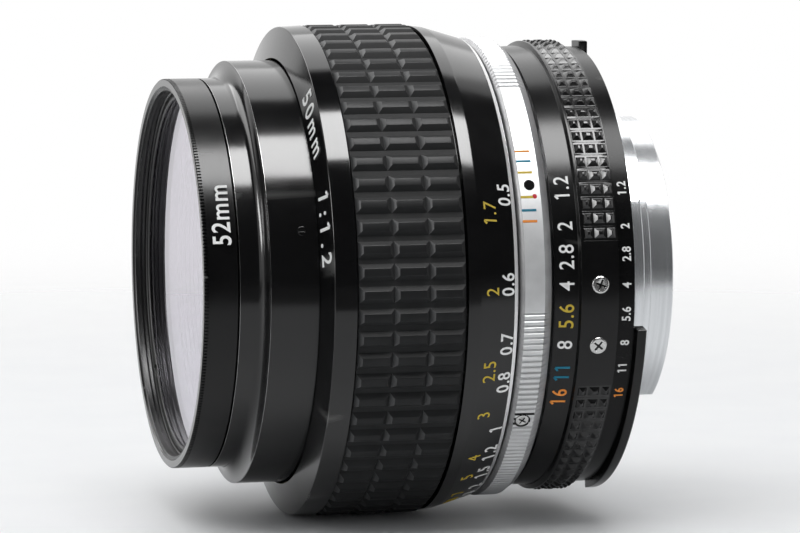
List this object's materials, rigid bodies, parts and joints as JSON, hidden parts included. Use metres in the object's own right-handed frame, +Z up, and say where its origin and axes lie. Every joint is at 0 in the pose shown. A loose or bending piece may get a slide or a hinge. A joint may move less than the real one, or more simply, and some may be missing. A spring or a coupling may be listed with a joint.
{
  "type": "prime camera lens",
  "caption": "Manual-focus prime camera lens with a padded rubber focus ring, knurled aperture ring, working iris, chromed bayonet mount and a screw-in filter.",
  "frame": {"origin": "on the optical axis at the flange seat of the bayonet mount", "axes": "+X along the optical axis towards the camera, so the front of the lens points along -X; +Z up as the lens lies on its side; -Y towards the viewer of the picture"},
  "size_m": [0.0694, 0.0684, 0.0684],
  "materials": {
    "black_alloy": "gloss",
    "matt_black_alloy": "matte",
    "grip_rubber": "satin",
    "satin_alloy": "satin",
    "grey_alloy": "satin",
    "mount_chrome": "polished",
    "bare_brass": "satin",
    "black_brass": "satin",
    "plain_steel": "satin",
    "blade_steel": "satin",
    "lens_glass": "polished",
    "filter_glass": "polished"
  },
  "bodies": {
    "barrel": {"fixed_barrel": "grey_alloy", "index_ring": "satin_alloy", "bayonet_mount": "mount_chrome", "rear_baffle": "matt_black_alloy", "guide_key_1": "plain_steel", "guide_key_2": "plain_steel"},
    "focus_ring": {"focus_ring": "black_alloy", "rubber_grip": "grip_rubber", "focus_helicoid": "bare_brass"},
    "lens_unit": {"front_barrel": "black_alloy", "lens_carrier": "bare_brass", "front_cell": "matt_black_alloy", "front_retainer": "black_alloy", "rear_cell": "matt_black_alloy", "rear_retainer": "black_alloy", "iris_plate": "matt_black_alloy", "iris_housing": "matt_black_alloy", "lens_element_1": "lens_glass", "lens_element_2": "lens_glass", "lens_element_3": "lens_glass", "lens_element_4": "lens_glass", "lens_element_5": "lens_glass", "lens_element_6": "lens_glass", "lens_element_7": "lens_glass"},
    "aperture_ring": {"aperture_ring": "black_alloy", "aperture_key": "plain_steel"},
    "iris_drive": {"iris_drive_ring": "plain_steel"},
    "stop_lever": {"stop_down_ring": "plain_steel"},
    "filter": {"filter_ring": "black_brass", "filter_glass": "filter_glass", "filter_retainer": "black_brass"},
    "iris_blade_1": {"iris_blade_1": "blade_steel"},
    "iris_blade_2": {"iris_blade_2": "blade_steel"},
    "iris_blade_3": {"iris_blade_3": "blade_steel"},
    "iris_blade_4": {"iris_blade_4": "blade_steel"},
    "iris_blade_5": {"iris_blade_5": "blade_steel"},
    "iris_blade_6": {"iris_blade_6": "blade_steel"},
    "iris_blade_7": {"iris_blade_7": "blade_steel"},
    "iris_blade_8": {"iris_blade_8": "blade_steel"},
    "iris_blade_9": {"iris_blade_9": "blade_steel"}
  },
  "joints": [
    {"name": "focus_turn", "type": "hinge", "parent": "barrel", "child": "focus_ring", "pos_m": [0, 0, 0], "axis": [-1, 0, 0], "range_deg": [0, 107]},
    {"name": "lens_slide", "type": "slide", "parent": "barrel", "child": "lens_unit", "axis": [1, 0, 0], "range_m": [0, 0.00684]},
    {"name": "aperture_turn", "type": "hinge", "parent": "barrel", "child": "aperture_ring", "pos_m": [0, 0, 0], "axis": [-1, 0, 0], "range_deg": [0, 55]},
    {"name": "iris_drive_turn", "type": "hinge", "parent": "lens_unit", "child": "iris_drive", "pos_m": [0, 0, 0], "axis": [-1, 0, 0], "range_deg": [0, 14.05]},
    {"name": "stop_lever_turn", "type": "hinge", "parent": "barrel", "child": "stop_lever", "pos_m": [0, 0, 0], "axis": [-1, 0, 0], "range_deg": [0, 14.05]},
    {"name": "filter_unscrew", "type": "slide", "parent": "lens_unit", "child": "filter", "axis": [-1, 0, 0], "range_m": [0, 0.003]},
    {"name": "iris_blade_1_swing", "type": "hinge", "parent": "lens_unit", "child": "iris_blade_1", "pos_m": [-0.02593, -0.021, 0], "axis": [-1, 0, 0], "range_deg": [0, 37.55]},
    {"name": "iris_blade_2_swing", "type": "hinge", "parent": "lens_unit", "child": "iris_blade_2", "pos_m": [-0.02568, -0.01609, 0.0135], "axis": [-1, 0, 0], "range_deg": [0, 37.55]},
    {"name": "iris_blade_3_swing", "type": "hinge", "parent": "lens_unit", "child": "iris_blade_3", "pos_m": [-0.02543, -0.00365, 0.02068], "axis": [-1, 0, 0], "range_deg": [0, 37.55]},
    {"name": "iris_blade_4_swing", "type": "hinge", "parent": "lens_unit", "child": "iris_blade_4", "pos_m": [-0.02518, 0.0105, 0.01819], "axis": [-1, 0, 0], "range_deg": [0, 37.55]},
    {"name": "iris_blade_5_swing", "type": "hinge", "parent": "lens_unit", "child": "iris_blade_5", "pos_m": [-0.02493, 0.01973, 0.00718], "axis": [-1, 0, 0], "range_deg": [0, 37.55]},
    {"name": "iris_blade_6_swing", "type": "hinge", "parent": "lens_unit", "child": "iris_blade_6", "pos_m": [-0.02468, 0.01973, -0.00718], "axis": [-1, 0, 0], "range_deg": [0, 37.55]},
    {"name": "iris_blade_7_swing", "type": "hinge", "parent": "lens_unit", "child": "iris_blade_7", "pos_m": [-0.02443, 0.0105, -0.01819], "axis": [-1, 0, 0], "range_deg": [0, 37.55]},
    {"name": "iris_blade_8_swing", "type": "hinge", "parent": "lens_unit", "child": "iris_blade_8", "pos_m": [-0.02418, -0.00365, -0.02068], "axis": [-1, 0, 0], "range_deg": [0, 37.55]},
    {"name": "iris_blade_9_swing", "type": "hinge", "parent": "lens_unit", "child": "iris_blade_9", "pos_m": [-0.02393, -0.01609, -0.0135], "axis": [-1, 0, 0], "range_deg": [0, 37.55]}
  ],
  "couplings": [
    {"joint": "lens_slide", "follows": "focus_turn", "m_per_rad": 0.0036573},
    {"joint": "iris_drive_turn", "follows": "aperture_turn", "ratio": 0.25455},
    {"joint": "stop_lever_turn", "follows": "aperture_turn", "ratio": 0.25455},
    {"joint": "iris_blade_1_swing", "follows": "aperture_turn", "ratio": 0.68182},
    {"joint": "iris_blade_2_swing", "follows": "aperture_turn", "ratio": 0.68182},
    {"joint": "iris_blade_3_swing", "follows": "aperture_turn", "ratio": 0.68182},
    {"joint": "iris_blade_4_swing", "follows": "aperture_turn", "ratio": 0.68182},
    {"joint": "iris_blade_5_swing", "follows": "aperture_turn", "ratio": 0.68182},
    {"joint": "iris_blade_6_swing", "follows": "aperture_turn", "ratio": 0.68182},
    {"joint": "iris_blade_7_swing", "follows": "aperture_turn", "ratio": 0.68182},
    {"joint": "iris_blade_8_swing", "follows": "aperture_turn", "ratio": 0.68182},
    {"joint": "iris_blade_9_swing", "follows": "aperture_turn", "ratio": 0.68182}
  ]
}
